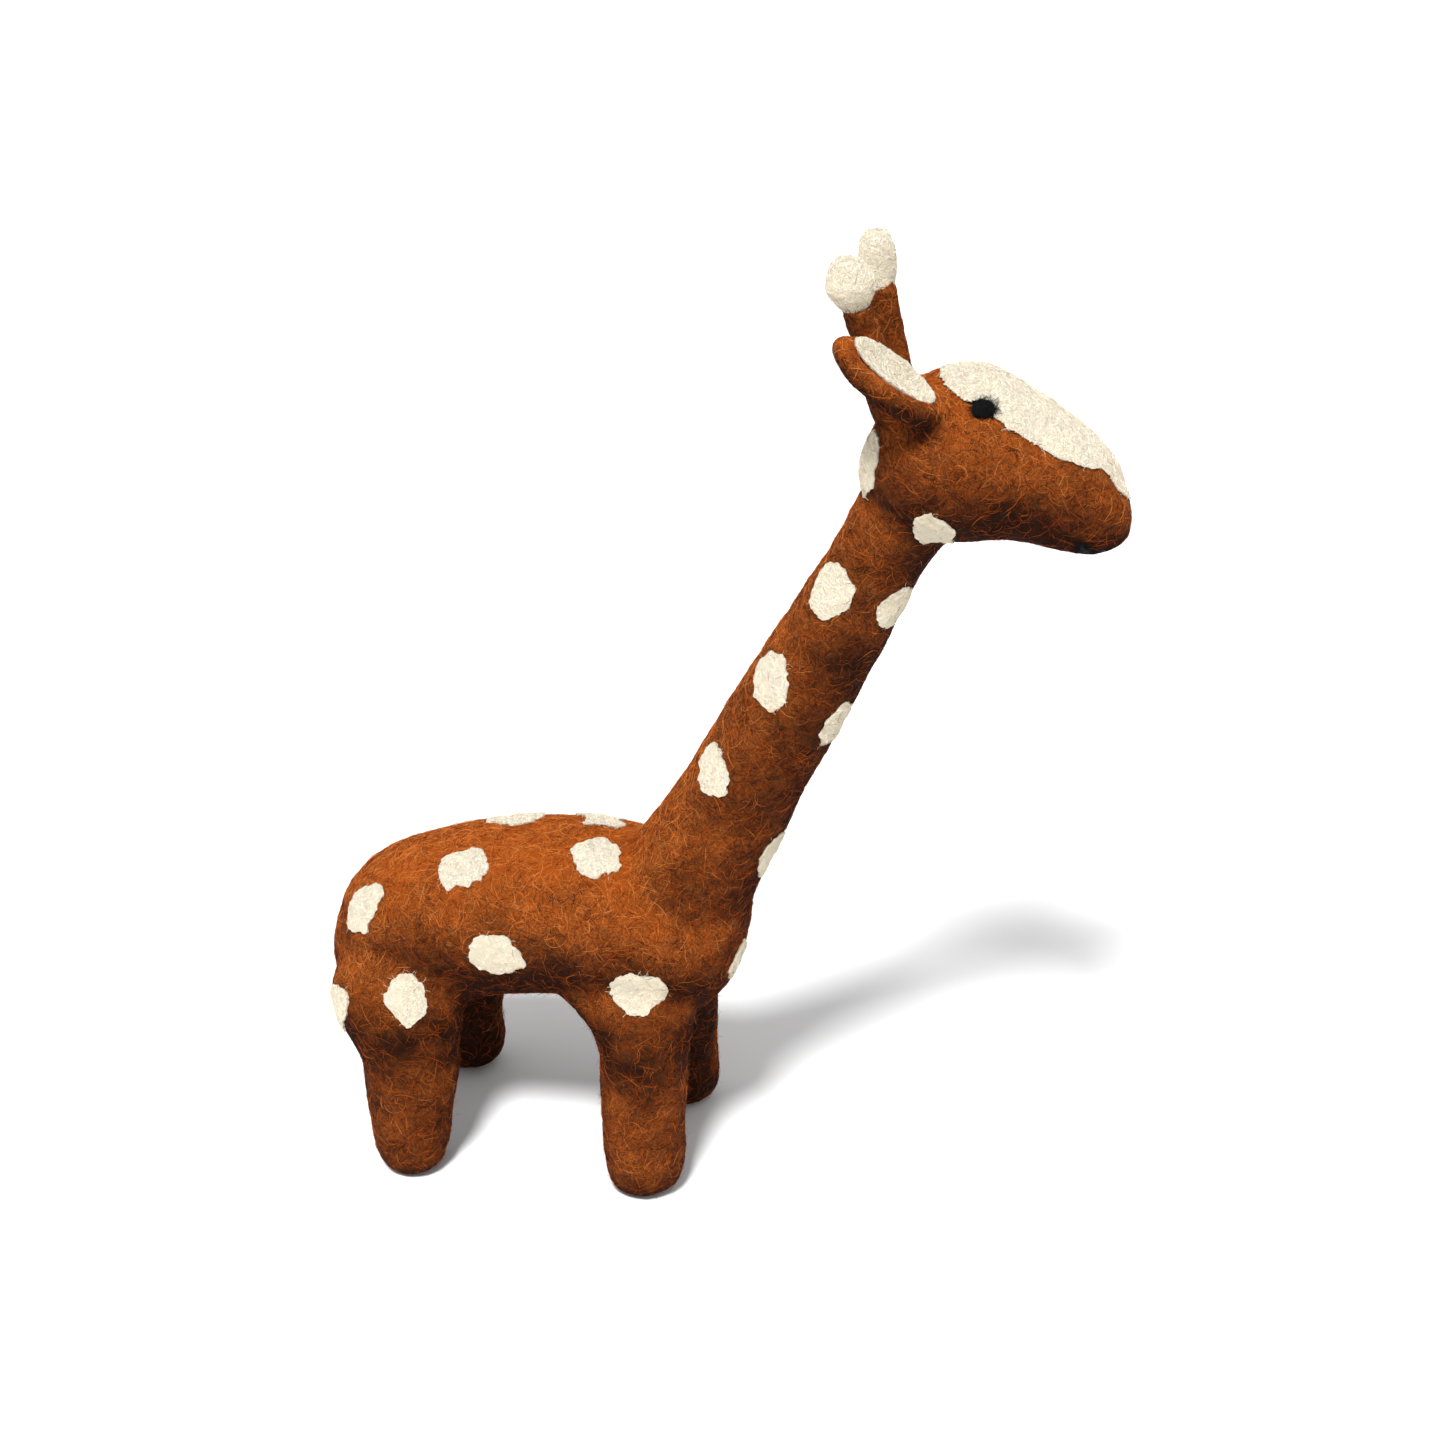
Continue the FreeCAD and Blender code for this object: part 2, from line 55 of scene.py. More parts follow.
# ---------------------------------------------------------------- which nodes each felt stands for
ALL_NODES = sorted(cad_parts)
COVERS = [name for name in ALL_NODES if name.endswith("_cover")]
CORES = [name for name in ALL_NODES if name.endswith("_core")]
EARS = [f"ear_{side}" for side in SIDES]
STEMS = [f"horn_stem_{side}" for side in SIDES]
LININGS = [f"ear_lining_{side}" for side in SIDES]
TIPS = [f"horn_tip_{side}" for side in SIDES]
EYES = [f"eye_{side}" for side in SIDES]
SPOTS = [name for name in ALL_NODES if "_spot_" in name or name.endswith("_spot")]

# ---------------------------------------------------------------- driving sizes
low, high = (np.array(corner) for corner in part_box("torso_cover"))
torso_tall = high[2] - low[2]
neck_low, neck_high = (np.array(corner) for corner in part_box("neck_cover"))
leg_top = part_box("front_leg_right_cover")[1][2]
SKIN_GRAIN = torso_tall / 90       # edge of a skin mesh cell
PATCH_GRAIN = SKIN_GRAIN / 2
FILLET = torso_tall / 16           # radius pressed into the joins
BELLY_SHADE_BAND = torso_tall / 5        # reach of the painted shade above and below the belly line
LOFT = 0.4 * MM                    # depth that the loose wool adds over the pressed skin
HAIR = 0.1 * MM                    # width of a wool strand


# ---------------------------------------------------------------- colour and shader helpers
def tone(red, green, blue):
    """A linear colour from 0-255 display values."""
    def linear(value):
        value /= 255
        return value / 12.92 if value <= 0.04045 else ((value + 0.055) / 1.055) ** 2.4
    return (linear(red), linear(green), linear(blue), 1.0)


RUST = {"dark": tone(24, 9, 3), "mid": tone(100, 37, 7), "light": tone(188, 88, 18),
        "pale": tone(226, 144, 72)}
CREAM = {"dark": tone(236, 217, 184), "mid": tone(252, 240, 214), "light": tone(255, 248, 229),
         "pale": tone(255, 251, 240)}
BLACK = {"dark": tone(5, 5, 6), "mid": tone(13, 13, 14), "light": tone(28, 28, 30), "pale": tone(52, 52, 55)}


def plain(name, colour, roughness, metallic=0.0):
    """A material of one colour, with hardly any shine of its own."""
    made = bpy.data.materials.new(name)
    made.use_nodes = True
    shader = made.node_tree.nodes["Principled BSDF"]
    shader.inputs["Base Color"].default_value = colour
    shader.inputs["Roughness"].default_value = roughness
    shader.inputs["Metallic"].default_value = metallic
    shader.inputs["Specular IOR Level"].default_value = 0.1
    return made


class Graph:
    """Short ways to add and join the nodes of one material."""

    def __init__(self, made):
        self.nodes, self.links = made.node_tree.nodes, made.node_tree.links
        self.shader = self.nodes["Principled BSDF"]
        self.place = self.nodes.new("ShaderNodeTexCoord").outputs["Object"]

    def put(self, socket, value):
        """Joins the socket to another one, or sets it to a constant."""
        if hasattr(value, "links"):
            self.links.new(value, socket)
        else:
            socket.default_value = value

    def cloud(self, size, detail=3.0, distortion=0.0):
        """Noise whose features are about this size, in metres."""
        made = self.nodes.new("ShaderNodeTexNoise")
        made.inputs["Scale"].default_value = 1 / size
        made.inputs["Detail"].default_value = detail
        made.inputs["Distortion"].default_value = distortion
        self.links.new(self.place, made.inputs["Vector"])
        return made.outputs["Fac"]

    def maths(self, kind, first, second=0.0):
        made = self.nodes.new("ShaderNodeMath")
        made.operation = kind
        self.put(made.inputs[0], first)
        self.put(made.inputs[1], second)
        return made.outputs[0]

    def strands(self, size, distortion, sharpness):
        """Thin curling lines, like wool lying on felt: the middle contour of a twisted noise."""
        away = self.maths("ABSOLUTE", self.maths("SUBTRACT", self.cloud(size, 2.0, distortion), 0.5))
        near = self.maths("SUBTRACT", 1.0, self.maths("MULTIPLY", away, 2.0))
        return self.maths("POWER", near, sharpness)

    def mix(self, share, first, second):
        """The first colour with this share of the second mixed in."""
        made = self.nodes.new("ShaderNodeMix")
        made.data_type = "RGBA"
        self.put(made.inputs["Factor"], share)
        self.put(made.inputs["A"], first)
        self.put(made.inputs["B"], second)
        return made.outputs["Result"]

    def spread(self, value, start, end):
        """The value stretched so that start becomes 0 and end becomes 1."""
        made = self.nodes.new("ShaderNodeMapRange")
        made.inputs["From Min"].default_value = start
        made.inputs["From Max"].default_value = end
        self.links.new(value, made.inputs["Value"])
        return made.outputs["Result"]

    def bump(self, height, depth):
        """Lets this height stand up from the surface, up to this depth."""
        made = self.nodes.new("ShaderNodeBump")
        made.inputs["Distance"].default_value = depth
        made.inputs["Strength"].default_value = 0.9
        self.links.new(height, made.inputs["Height"])
        self.links.new(made.outputs["Normal"], self.shader.inputs["Normal"])


def felt(name, shades, blotch, contrast, bump_depth, shaded_by=None):
    """Pressed wool: broad blotches, painted shade in the hollows, then light and dark strands, all standing
    up as a fine bump.

    shaded_by names a mesh attribute of painted light and shade: above 0 it darkens the wool as painted shade,
    below 0 it lightens it as painted light.
    """
    made = plain(name, shades["mid"], 0.95)
    graph = Graph(made)
    broad = graph.spread(graph.cloud(blotch, 4.0, 0.6), 0.32, 0.68)
    coarse = graph.strands(2.6 * MM, 2.2, 9.0)
    fine = graph.strands(1.1 * MM, 2.8, 7.0)
    dark = graph.strands(1.7 * MM, 3.2, 8.0)
    pits = graph.spread(graph.cloud(0.9 * MM, 3.0), 0.3, 0.62)
    painted_hollow_shade = graph.maths("SUBTRACT", 1.0, pits)
    final = graph.mix(graph.maths("MULTIPLY", broad, 0.75), shades["mid"], shades["light"])
    # the hollows of the bump are darkened as painted shade; the dark, light and pale strands are the wool's
    # own tones
    for layer, share, shade in ((painted_hollow_shade, contrast, "dark"), (dark, contrast, "dark"),
                                (coarse, contrast, "light"), (fine, contrast / 2, "pale")):
        final = graph.mix(graph.maths("MULTIPLY", layer, share), final, shades[shade])
    if shaded_by:
        painted_shading = graph.nodes.new("ShaderNodeAttribute")
        painted_shading.attribute_name = shaded_by
        # painted shade where the attribute is above 0, painted light where it is below 0
        painted_shade_share = graph.maths("MULTIPLY", graph.spread(painted_shading.outputs["Fac"], 0, 1), 0.94)
        painted_light_share = graph.maths("MULTIPLY", graph.spread(painted_shading.outputs["Fac"], 0, -0.5), 0.7)
        final = graph.mix(painted_light_share, graph.mix(painted_shade_share, final, shades["dark"]), shades["light"])
    graph.put(graph.shader.inputs["Base Color"], final)
    height = graph.maths("ADD", graph.maths("ADD", coarse, fine), graph.maths("MULTIPLY", pits, 1.2))
    graph.bump(height, bump_depth)
    return made


def wool(name, shades, share):
    """One plain strand colour: share 0 to 3 runs through a wool's shades from dark to pale."""
    order = ["dark", "mid", "light", "pale"]
    step = min(int(share), 2)
    first, second = shades[order[step]], shades[order[step + 1]]
    colour = tuple(a + (b - a) * (share - step) for a, b in zip(first, second))
    return plain(name, colour, 0.8)


# ---------------------------------------------------------------- mesh helpers
def positions(mesh):
    found = np.zeros(len(mesh.vertices) * 3, np.float32)
    mesh.vertices.foreach_get("co", found)
    return found.reshape(-1, 3).astype(float)


def out_ways(mesh):
    found = np.zeros(len(mesh.vertices) * 3, np.float32)
    mesh.vertex_normals.foreach_get("vector", found)
    return found.reshape(-1, 3).astype(float)


def set_positions(mesh, points):
    mesh.vertices.foreach_set("co", np.asarray(points, np.float32).ravel())
    mesh.update()


def shown(name, mesh, *materials):
    made = bpy.data.objects.new(name, mesh)
    bpy.context.scene.collection.objects.link(made)
    for material in materials:
        mesh.materials.append(material)
    return made


def merged(nodes, *others):
    """One mesh holding copies of these CAD nodes and of these other meshes."""
    builder = bmesh.new()
    for mesh in [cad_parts[name].data for name in nodes] + list(others):
        builder.from_mesh(mesh)
    mesh = bpy.data.meshes.new("merged")
    builder.to_mesh(mesh)
    builder.free()
    return mesh


def remade(mesh, grain):
    """The mesh's closed union, with even cells of this size."""
    carrier = shown("carrier", mesh)
    step = carrier.modifiers.new("cells", "REMESH")
    step.mode = "VOXEL"
    step.voxel_size = grain
    step.adaptivity = 0
    graph = bpy.context.evaluated_depsgraph_get()
    made = bpy.data.meshes.new_from_object(carrier.evaluated_get(graph))
    bpy.data.objects.remove(carrier)
    return made


def outer_only(mesh):
    """Drops every part of the mesh but the one with the most vertices."""
    builder = bmesh.new()
    builder.from_mesh(mesh)
    left, groups = set(builder.verts), []
    while left:
        reached = [left.pop()]
        group = list(reached)
        while reached:
            for edge in reached.pop().link_edges:
                for vertex in edge.verts:
                    if vertex in left:
                        left.remove(vertex)
                        reached.append(vertex)
                        group.append(vertex)
        groups.append(group)
    groups.sort(key=len)
    for group in groups[:-1]:
        bmesh.ops.delete(builder, geom=group, context="VERTS")
    builder.to_mesh(mesh)
    builder.free()
    return mesh


def neighbours(mesh):
    ends = np.zeros(len(mesh.edges) * 2, np.int64)
    mesh.edges.foreach_get("vertices", ends)
    return ends.reshape(-1, 2)


def smoothed(mesh, rounds, strength=0.5):
    """Moves each vertex part of the way to the middle of its neighbours, again and again."""
    points, ends = positions(mesh), neighbours(mesh)
    count = np.bincount(ends.ravel(), minlength=len(points))[:, None].clip(1)
    for _ in range(rounds):
        total = np.zeros_like(points)
        np.add.at(total, ends[:, 0], points[ends[:, 1]])
        np.add.at(total, ends[:, 1], points[ends[:, 0]])
        points += strength * (total / count - points)
    set_positions(mesh, points)
    return mesh


def swollen(mesh, distance):
    """The mesh moved along its own normals."""
    set_positions(mesh, positions(mesh) + distance * out_ways(mesh))
    return mesh


def rolling(points, size, seed):
    """Smooth noise from about -1 to 1 at each point, with features of this size."""
    shift = Vector((seed * 7.31, seed * 3.17, seed * 5.73))
    return np.array([noise.noise(Vector(point) / size + shift) for point in points])


def rolling_ways(points, size, seed):
    return np.stack([rolling(points, size, seed + 0.37 * axis) for axis in range(3)], axis=1)


def tree_of(mesh):
    corners = [tuple(point) for point in positions(mesh)]
    return BVHTree.FromPolygons(corners, [tuple(face.vertices) for face in mesh.polygons])


def nearest(tree, points):
    """For each point, the nearest one on the surface and the surface's normal there."""
    found = [tree.find_nearest(Vector(point)) for point in points]
    return np.array([hit[0] for hit in found]), np.array([hit[1] for hit in found])


def unit(ways):
    return ways / np.linalg.norm(ways, axis=-1, keepdims=True).clip(1e-12)


def flattened(ways, normals):
    """The ways with their part along the normals taken out, at unit length."""
    return unit(ways - (ways * normals).sum(-1, keepdims=True) * normals)


# ---------------------------------------------------------------- the felted skin
def rounded(mesh, radius, sink=0.0):
    """The mesh with its hollow corners filled to about this radius, and then sunk all over."""
    mesh = outer_only(remade(mesh, SKIN_GRAIN))
    mesh = outer_only(remade(swollen(smoothed(mesh, 2), radius), SKIN_GRAIN))
    return outer_only(remade(swollen(smoothed(mesh, 4), -radius - sink), SKIN_GRAIN))


def skin_mesh():
    """All the brown felt as one skin. The horns join with a tighter corner, so that no web forms there."""
    body = rounded(merged(COVERS + CORES + EARS), FILLET)
    return smoothed(rounded(merged(STEMS, body), FILLET / 3, LOFT), 3)


def lumpy(mesh, lumps, seed):
    """Raises and sinks the surface by each (size, height) pair of noise, but never below the floor."""
    points, ways = positions(mesh), out_ways(mesh)
    rise = np.zeros(len(points))
    for number, (size, height) in enumerate(lumps):
        rise += height * rolling(points, size, seed + number)
    points = points + ways * rise[:, None]
    points[:, 2] = points[:, 2].clip(0.05 * MM)
    set_positions(mesh, points)
    return mesh


SKIN_LUMPS = [(17 * MM, 0.75 * MM), (6.5 * MM, 0.35 * MM), (2.4 * MM, 0.16 * MM)]
PATCH_LUMPS = [(4.5 * MM, 0.3 * MM), (1.3 * MM, 0.2 * MM)]
TIP_LUMPS = [(5 * MM, 0.5 * MM), (1.8 * MM, 0.25 * MM)]
cad_tree = tree_of(merged(COVERS + EARS + STEMS))
skin_data = lumpy(skin_mesh(), SKIN_LUMPS, 3)
skin_tree = tree_of(skin_data)


def throat_stretch(points):
    """Makes the throat spot, which lies in the fold beneath the jaw, taller and shorter from end to end."""
    spot_low, spot_high = (np.array(corner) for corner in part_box("throat_spot_right"))
    held = ((points > spot_low - MM) & (points < spot_high + MM)).all(1)
    away = points - (spot_low + spot_high) / 2
    return held[:, None] * away * (-0.3, 0, 0.55)


def pressed(mesh, ragged, sink, stand):
    """Lays a patch on the skin: its edges made ragged, its back sunk in and its face standing out."""
    points = positions(mesh)
    foot, ways = nearest(cad_tree, points)
    height = ((points - foot) * ways).sum(1)
    face_height = 0.4 * np.percentile(height, 90)     # what is higher than this counts as the patch's face
    share = (height / face_height).clip(0, 1)
    points = points + throat_stretch(points)
    for number, (size, reach) in enumerate(ragged):
        drift = rolling_ways(points, size, 11 + number) * reach
        points = points + drift - (drift * ways).sum(1, keepdims=True) * ways
    seat, _ = nearest(skin_tree, points)
    set_positions(mesh, seat + ways * (stand * share - sink * (1 - share))[:, None])
    return mesh


def patch_mesh(nodes, ragged, seed, stand=0.55 * MM, size=1.0):
    """The felt of these patches, pressed onto the skin."""
    mesh = drawn_in(smoothed(remade(merged(nodes), PATCH_GRAIN), 2), size)
    return lumpy(smoothed(pressed(mesh, ragged, 0.7 * MM, stand), 1), PATCH_LUMPS, seed)


def drawn_in(mesh, size):
    """Shrinks the patches of the left and of the right half about their own middles."""
    points = positions(mesh)
    for half in (points[:, 1] < 0, points[:, 1] >= 0):
        middle = points[half].mean(0)
        points[half] = middle + size * (points[half] - middle)
    set_positions(mesh, points)
    return mesh


def finger(mesh, middle, half_length, half_width):
    """Turns an egg-shaped tip into a blunt upright finger, a little narrower at the top."""
    power, taper = 3.2, 0.1            # 2 would be round and more is squarer
    points = positions(mesh) - middle
    aside = np.linalg.norm(points[:, :2], axis=1)
    reach = (np.abs(points[:, 2]) / half_length) ** power + (aside / half_width) ** power
    points /= reach[:, None] ** (1 / power)
    points[:, :2] *= 1 - taper * points[:, 2:] / half_length
    set_positions(mesh, middle + points)
    return mesh


def pear(mesh, middle, way, radius):
    """Draws the side of a ball that faces this way out into a narrower neck."""
    longer, narrower = 0.15, 0.25
    points = positions(mesh) - middle
    along = (points @ way).clip(0)[:, None]
    aside = points - (points @ way)[:, None] * way
    set_positions(mesh, middle + points + longer * along * way - narrower * along / radius * aside)
    return mesh


def tip_mesh():
    """The two horn tips: a ball that narrows to its stem, and a blunt finger."""
    ball = remade(merged([TIPS[0]]), PATCH_GRAIN)
    ball_low, ball_high = (np.array(corner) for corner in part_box(TIPS[0]))
    stem_middle = (np.array(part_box(STEMS[0])[0]) + np.array(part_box(STEMS[0])[1])) / 2
    ball_middle = (ball_low + ball_high) / 2
    pear(ball, ball_middle, unit(stem_middle - ball_middle), (ball_high - ball_low).max() / 2)
    knob_low, knob_high = (np.array(corner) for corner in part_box(TIPS[1]))
    knob_half = (knob_high - knob_low) / 2
    knob = finger(remade(merged([TIPS[1]]), PATCH_GRAIN), knob_low + knob_half, knob_half[2], knob_half[1])
    return lumpy(smoothed(merged([], ball, knob), 4), TIP_LUMPS, 10)


def lining_mesh():
    """The two ear linings, swollen a little so that they stand clear of their dishes."""
    return lumpy(swollen(smoothed(remade(merged(LININGS), PATCH_GRAIN), 4), 0.25 * MM), PATCH_LUMPS, 9)


# ---------------------------------------------------------------- fibres
def scattered(mesh, count, chance, rng):
    """Random points on the mesh, spread evenly by area, each kept by its chance(points, normals)."""
    mesh.calc_loop_triangles()
    corners = np.zeros(len(mesh.loop_triangles) * 3, np.int64)
    mesh.loop_triangles.foreach_get("vertices", corners)
    triangles = positions(mesh)[corners.reshape(-1, 3)]
    crosses = np.cross(triangles[:, 1] - triangles[:, 0], triangles[:, 2] - triangles[:, 0])
    area = np.linalg.norm(crosses, axis=1)
    chosen = rng.choice(len(area), count, p=area / area.sum())
    share = rng.random((count, 2))
    share = np.where(share.sum(1, keepdims=True) > 1, 1 - share, share)
    first, second, third = (triangles[chosen, corner] for corner in range(3))
    points = first + share[:, :1] * (second - first) + share[:, 1:] * (third - first)
    normals = unit(crosses[chosen])
    kept = rng.random(count) < chance(points, normals)
    return points[kept], normals[kept]


def anywhere(points, normals):
    return np.ones(len(points))


NECK_WAY = Vector((neck_high[0] - neck_low[0], 0, neck_high[2] - neck_low[2])).normalized()
SWIRL = 2.6                        # how far the strands' way turns from place to place, in radians
WANDER = 1.1                       # how far each strand's way strays from its neighbours', in radians
ROOT_DEPTH = 0.12 * MM             # how deep a strand starts in the felt
PIECE_FACES = 190000               # triangles that one piece of strands may have


def wrapped(points, normals, rng):
    """Ways that wind round the neck and legs and swirl over the body, each turned by chance."""
    height = points[:, 2:]
    axis = np.where(height < leg_top, (0, 0, 1), np.where(height > high[2], tuple(NECK_WAY), (1, 0, 0.2)))
    round_ways = flattened(np.cross(normals, axis) + 1e-6, normals)
    side_ways = np.cross(normals, round_ways)
    turn = SWIRL * rolling(points, 22 * MM, 41) + rng.normal(0, WANDER, len(points))
    turn = turn[:, None]
    flip = np.where(rng.random(len(points)) < 0.5, -1.0, 1.0)[:, None]
    return flip * (np.cos(turn) * round_ways + np.sin(turn) * side_ways)


def combed(tree, starts, normals, ways, length, steps, curl, lift, rise, rng):
    """Paths along the surface: lift is the height of the middle above it, and rise that of the free end."""
    count = len(starts)
    stride = (length / (steps - 1))[:, None]
    bend = rng.normal(0, curl, (count, 1)) * stride
    phase = rng.random((count, 1)) * 2 * math.pi
    points, path = starts.copy(), []
    foot, faces = starts, normals
    for step in range(steps):
        share = step / (steps - 1)
        height = lift * math.sin(math.pi * min(share * 1.15, 1.0)) - ROOT_DEPTH * (1 - share)
        path.append(foot + faces * (height + rise * share ** 1.6)[:, None])
        turn = bend + 0.5 * np.sin(phase + share * 5.0) * stride * curl
        ways = flattened(ways * np.cos(turn) + np.cross(faces, ways) * np.sin(turn), faces)
        points = foot + ways * stride
        foot, faces = nearest(tree, points)
    return np.stack(path, axis=1)


def tubes(name, paths, radius, shade, materials, rng):
    """Closed three-sided tubes along the paths, thin at both ends, each in its shade's material."""
    count, steps, _ = paths.shape
    along = unit(np.gradient(paths, axis=1))
    side = unit(np.cross(along, along[:, :1] * 0 + unit(rng.normal(size=(count, 1, 3)))))
    other = np.cross(along, side)
    taper = np.sin(np.linspace(0.35, math.pi - 0.25, steps)) ** 0.6
    reach = radius[:, None, None] * taper[None, :, None]
    rings = [paths + reach * (side * math.cos(turn) + other * math.sin(turn))
             for turn in (0, 2 * math.pi / 3, 4 * math.pi / 3)]
    corners = np.stack(rings, axis=2).reshape(-1, 3)
    base = (np.arange(count) * steps * 3)[:, None]
    quads = np.array([(step * 3 + side_a, step * 3 + side_b, step * 3 + 3 + side_b, step * 3 + 3 + side_a)
                      for step in range(steps - 1) for side_a, side_b in ((0, 1), (1, 2), (2, 0))])
    last = steps * 3 - 3
    quad_ids = (base[:, :, None] + quads[None]).reshape(-1)
    cap_ids = (base[:, :, None] + np.array([(2, 1, 0), (last, last + 1, last + 2)])[None]).reshape(-1)
    loops = np.concatenate([quad_ids, cap_ids])
    sizes = np.concatenate([np.full(count * len(quads), 4), np.full(count * 2, 3)])
    mesh = bpy.data.meshes.new(name)
    mesh.vertices.add(len(corners))
    mesh.vertices.foreach_set("co", corners.astype(np.float32).ravel())
    mesh.loops.add(len(loops))
    mesh.loops.foreach_set("vertex_index", loops.astype(np.int32))
    mesh.polygons.add(len(sizes))
    mesh.polygons.foreach_set("loop_start", np.concatenate([[0], np.cumsum(sizes)[:-1]]).astype(np.int32))
    made = shown(name, mesh, *materials)
    owners = np.concatenate([np.repeat(shade, len(quads)), np.repeat(shade, 2)])
    mesh.polygons.foreach_set("material_index", owners.astype(np.int32))
    mesh.update(calc_edges=True)
    mesh.validate()
    return made


def strands(name, mesh, tree, count, length, width, materials, seed, curl, steps=6,
            lift=0.12 * MM, rise=0.0, chance=anywhere):
    """Wool laid over a felt, in as many pieces as their triangle limit needs."""
    rng = np.random.default_rng(seed)
    starts, normals = scattered(mesh, count, chance, rng)
    count = len(starts)
    lengths = length * rng.uniform(0.45, 1.4, count)
    rises = np.abs(rng.normal(0, 1, count)) * rise
    paths = combed(tree, starts, normals, wrapped(starts, normals, rng), lengths, steps, curl,
                   lift * rng.uniform(0.2, 1.6, count), rises, rng)
    paths[:, :, 2] = paths[:, :, 2].clip(HAIR)
    radius = width / 2 * rng.uniform(0.55, 1.35, count)
    # strands beneath, round the belly and between the legs take darker shades as painted shade, and those
    # facing up take lighter ones as painted light; the rest is random tone and mottle
    painted_shading = painted_light_and_shade(starts, normals)
    light = rng.random(count) * (1 - 0.85 * painted_shading.clip(0, 1)) - 0.5 * painted_shading.clip(-1, 0)
    light += 0.55 * rolling(starts, 2.2 * MM, seed)
    shade = (light.clip(0, 0.999) * len(materials)).astype(int)
    each = PIECE_FACES // (6 * (steps - 1) + 2)
    for number in range(math.ceil(count / each)):
        part = slice(number * each, (number + 1) * each)
        made = tubes(f"{name}_{number + 1}", paths[part], radius[part], shade[part], materials, rng)
        settle(made)


def settle(piece, nodes=()):
    """Rides the piece on the body, and hides the nodes that it stands for."""
    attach(piece, "root")
    if nodes:
        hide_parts(*nodes)
    return piece


def soft_piece(name, mesh, material, nodes):
    """A stuffed piece of felt that stands for these nodes."""
    for face in mesh.polygons:
        face.use_smooth = True
    return settle(shown(name, mesh, material), nodes)


# ---------------------------------------------------------------- felts
def painted_light_and_shade(points, normals):
    """Painted light and shade on the wool, from -1 to 1: painted shade beneath, round the belly and between
    the legs, painted light on faces turned up, and random blotches of tone.
    """
    # painted shade on faces turned down and painted light on faces turned up
    facing_down = 0.5 - 1.1 * normals[:, 2]
    # painted shade on the inner sides of the legs and in a band along the belly line
    inward = (-np.sign(points[:, 1]) * normals[:, 1]).clip(0, 1)
    between = inward * ((leg_top - points[:, 2]) / (0.25 * leg_top)).clip(0, 1)
    belly = np.exp(-((points[:, 2] - low[2] - BELLY_SHADE_BAND / 3) / BELLY_SHADE_BAND) ** 2)
    blotches = 0.28 * rolling(points, 11 * MM, 61) + 0.14 * rolling(points, 4 * MM, 62)
    return (facing_down + 1.1 * between + 0.55 * belly + blotches).clip(-1, 1)


def brown_felts():
    # the skin's painted light and shade, kept as a point attribute for the brown felt
    painted_shading = skin_data.attributes.new("painted_shading", "FLOAT", "POINT")
    painted_shading.data.foreach_set("value", painted_light_and_shade(positions(skin_data), out_ways(skin_data)).astype(np.float32))
    return soft_piece("felt_skin", skin_data, felt("brown_felt", RUST, 14 * MM, 0.75, 0.4 * MM, "painted_shading"),
                      COVERS + EARS + STEMS)


cream_felt = felt("cream_felt", CREAM, 8 * MM, 0.4, 0.4 * MM)
black_felt = felt("black_felt", BLACK, 4 * MM, 0.5, 0.3 * MM)
# the size and the reach of each wave in a patch's edge
RAGGED = [(6 * MM, 1.5 * MM), (2.4 * MM, 0.9 * MM), (1.1 * MM, 0.45 * MM)]
CRISP = [(9 * MM, 0.6 * MM), (2.4 * MM, 0.5 * MM), (1.1 * MM, 0.3 * MM)]
FUZZY = [(2.4 * MM, 0.9 * MM), (1.1 * MM, 0.7 * MM)]
brown_felts()
patch_data = {
    "spots": patch_mesh(SPOTS, RAGGED, 5),
    "blaze": patch_mesh(["face_patch"], CRISP, 7),
    "linings": lining_mesh(),
    "tips": tip_mesh(),
}
replaced = {"spots": SPOTS, "blaze": ["face_patch"], "linings": LININGS, "tips": TIPS}
for name, mesh in patch_data.items():
    soft_piece(f"felt_{name}", mesh, cream_felt, replaced[name])
eye_data = patch_mesh(EYES, FUZZY, 13, stand=0.7 * MM, size=0.8)
# a black felt patch under the muzzle, made from the part named mouth
muzzle_patch_data = patch_mesh(["mouth"], RAGGED, 15, stand=0.3 * MM)
soft_piece("felt_eyes", eye_data, black_felt, EYES)
soft_piece("felt_under_muzzle", muzzle_patch_data, black_felt, ["mouth"])


# ---------------------------------------------------------------- wool strands
def shades_of(name, shades, shares):
    """A strand material for each share, from the darkest to the palest."""
    return [wool(f"{name}_{number + 1}", shades, share) for number, share in enumerate(shares)]


def whole_tree():
    """One surface of the skin and all that is felted onto it, for strands that cross from one to another."""
    corners, faces = [], []
    for mesh in (skin_data, eye_data, *patch_data.values()):
        first = len(corners)
        corners += [tuple(point) for point in positions(mesh)]
        faces += [tuple(first + corner for corner in face.vertices) for face in mesh.polygons]
    return BVHTree.FromPolygons(corners, faces)


def clear_of_patches(points, normals):
    """1 where the skin shows, and 0 inside a patch."""
    inside = np.zeros(len(points), bool)
    for tree in raised_trees:
        foot, ways = nearest(tree, points)
        away = points - foot
        inside |= ((away * ways).sum(1) < 0) & (np.linalg.norm(away, axis=1) < 1.5 * MM)
    return np.where(inside, 0.0, 1.0)


def on_top(points, normals):
    """True on the outer face of a patch but not on its edges and back, nor beside an eye."""
    foot, ways = nearest(skin_tree, points)
    eye, _ = nearest(raised_trees[0], points)
    clear = np.linalg.norm(points - eye, axis=1) > 2.2 * MM
    return clear & ((normals * ways).sum(1) > 0.8)


raised_trees = [tree_of(mesh) for mesh in (eye_data, *patch_data.values())]


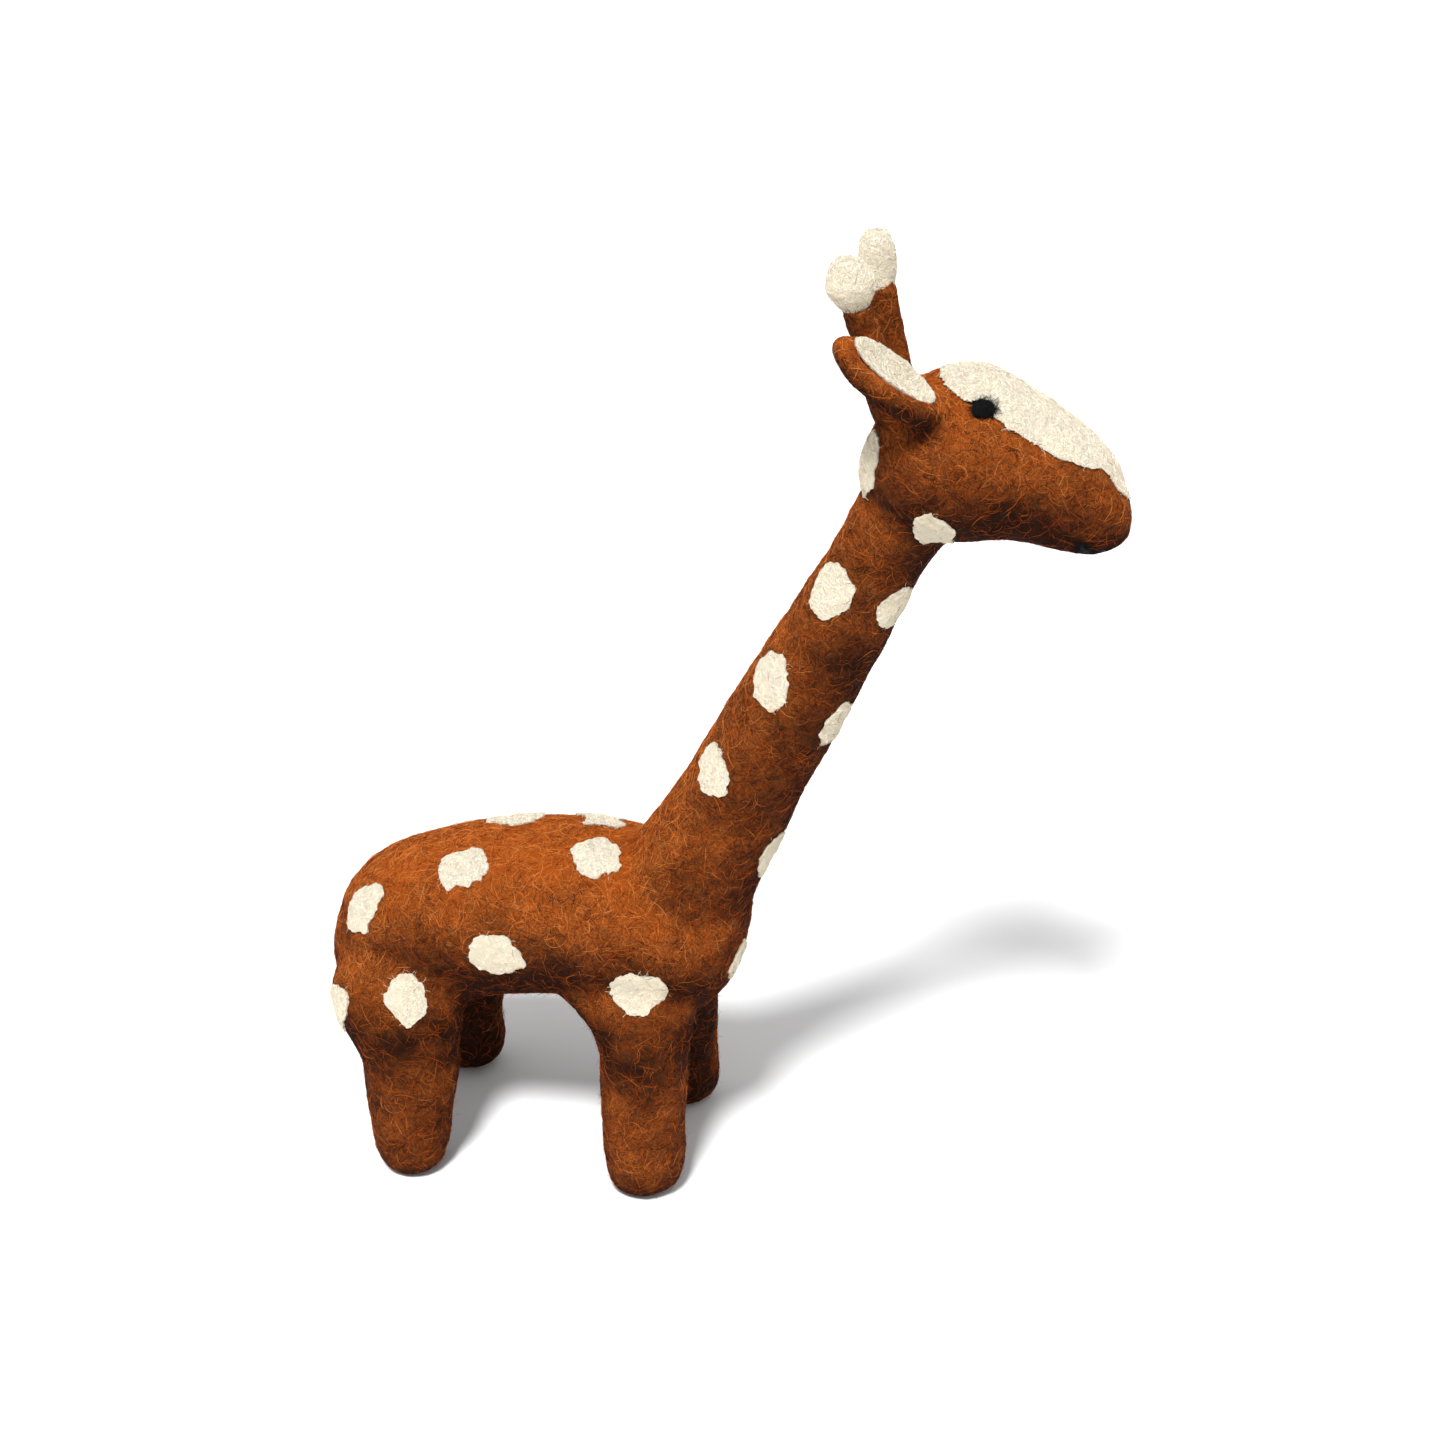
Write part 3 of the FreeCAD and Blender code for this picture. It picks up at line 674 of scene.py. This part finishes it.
def lay_wool():
    brown = shades_of("brown_strand", RUST, (0.1, 0.5, 1.0, 1.4, 1.9, 2.5))
    loose = shades_of("loose_strand", RUST, (1.5, 2.2, 2.9))
    cream = shades_of("cream_strand", CREAM, (0.9, 1.4, 1.9, 2.6))
    black = shades_of("black_strand", BLACK, (0.5, 1.2, 2.0))
    tree = whole_tree()
    strands("brown_wool", skin_data, tree, 84000, 3.8 * MM, HAIR, brown, 21, 190.0,
            steps=5, chance=clear_of_patches)
    strands("brown_loose", skin_data, tree, 6500, 6.5 * MM, HAIR * 0.8, loose, 22, 230.0,
            steps=9, lift=0.3 * MM, chance=clear_of_patches)
    strands("brown_fuzz", skin_data, tree, 7000, 3.6 * MM, HAIR * 0.6, loose, 23, 240.0,
            lift=0.2 * MM, rise=0.8 * MM, chance=clear_of_patches)
    for number, (name, mesh) in enumerate(patch_data.items()):
        area = sum(face.area for face in mesh.polygons) / MM ** 2
        strands(f"cream_wool_{name}", mesh, tree, int(area * 3), 1.7 * MM, HAIR * 0.85, cream,
                31 + number, 420.0, steps=5, rise=0.15 * MM, chance=anywhere if name == "tips" else on_top)
        strands(f"brown_astray_{name}", mesh, tree, int(area * 0.03), 4 * MM, HAIR * 0.7, brown,
                41 + number, 200.0)
    for number, (name, mesh) in enumerate((("eyes", eye_data), ("mouth", muzzle_patch_data))):
        strands(f"black_wool_{name}", mesh, tree, 2600, 2.2 * MM, HAIR * 0.9, black,
                51 + number, 300.0, lift=0.2 * MM, rise=0.15 * MM)


lay_wool()


# ---------------------------------------------------------------- the parts inside
def dress_inside():
    """Plain finishes for the armature, its tape and the undyed cores, which the felt hides."""
    wire = plain("armature_steel", tone(150, 150, 152), 0.35, 1.0)
    tape = plain("binding_paper", tone(196, 180, 150), 0.9)
    core = plain("core_fleece", tone(214, 204, 184), 0.95)
    for name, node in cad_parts.items():
        finish = core if name in CORES else wire if name.endswith("_wire") else tape
        if name in CORES or name.endswith(("_wire", "_binding")):
            node.data.materials.clear()
            node.data.materials.append(finish)


dress_inside()


# ---------------------------------------------------------------- floor, light, camera
def make_stage():
    bpy.ops.mesh.primitive_plane_add(size=6)
    floor = bpy.context.object
    floor.name = "floor"
    floor.data.materials.append(plain("floor_paper", (0.92, 0.92, 0.92, 1), 0.9))


def make_sun(strength, azimuth, elevation, spread):
    """Soft daylight from this azimuth, measured from the front of the picture towards the object's head."""
    lamp = bpy.data.lights.new("daylight", "SUN")
    lamp.energy = strength
    lamp.angle = math.radians(spread)
    made = bpy.data.objects.new("daylight", lamp)
    azimuth, elevation = math.radians(azimuth), math.radians(elevation)
    way = Vector((math.cos(elevation) * math.sin(azimuth), -math.cos(elevation) * math.cos(azimuth),
                  math.sin(elevation)))
    made.rotation_euler = (-way).to_track_quat("-Z", "Y").to_euler()
    bpy.context.scene.collection.objects.link(made)


def make_world(strength):
    world = bpy.data.worlds.new("studio")
    world.use_nodes = True
    world.node_tree.nodes["Background"].inputs["Color"].default_value = (1, 1, 1, 1)
    world.node_tree.nodes["Background"].inputs["Strength"].default_value = strength
    bpy.context.scene.world = world


def make_camera():
    """The photographer's view: from the right and a little ahead, looking down, through a portrait lens."""
    lens = bpy.data.cameras.new("camera")
    lens.lens = 80
    made = bpy.data.objects.new("camera", lens)
    target = Vector((0.0016, 0, 0.1278))
    azimuth, elevation, distance = math.radians(12.7), math.radians(27), 0.8
    way = Vector((math.cos(elevation) * math.sin(azimuth), -math.cos(elevation) * math.cos(azimuth),
                  math.sin(elevation)))
    made.location = target + distance * way
    made.rotation_euler = (-way).to_track_quat("-Z", "Y").to_euler()
    lens.clip_start = 0.01
    bpy.context.scene.collection.objects.link(made)
    bpy.context.scene.camera = made


make_stage()
make_world(0.6)
make_sun(strength=4.1, azimuth=-4, elevation=58, spread=12)
make_camera()
bpy.context.scene.view_settings.view_transform = "Standard"
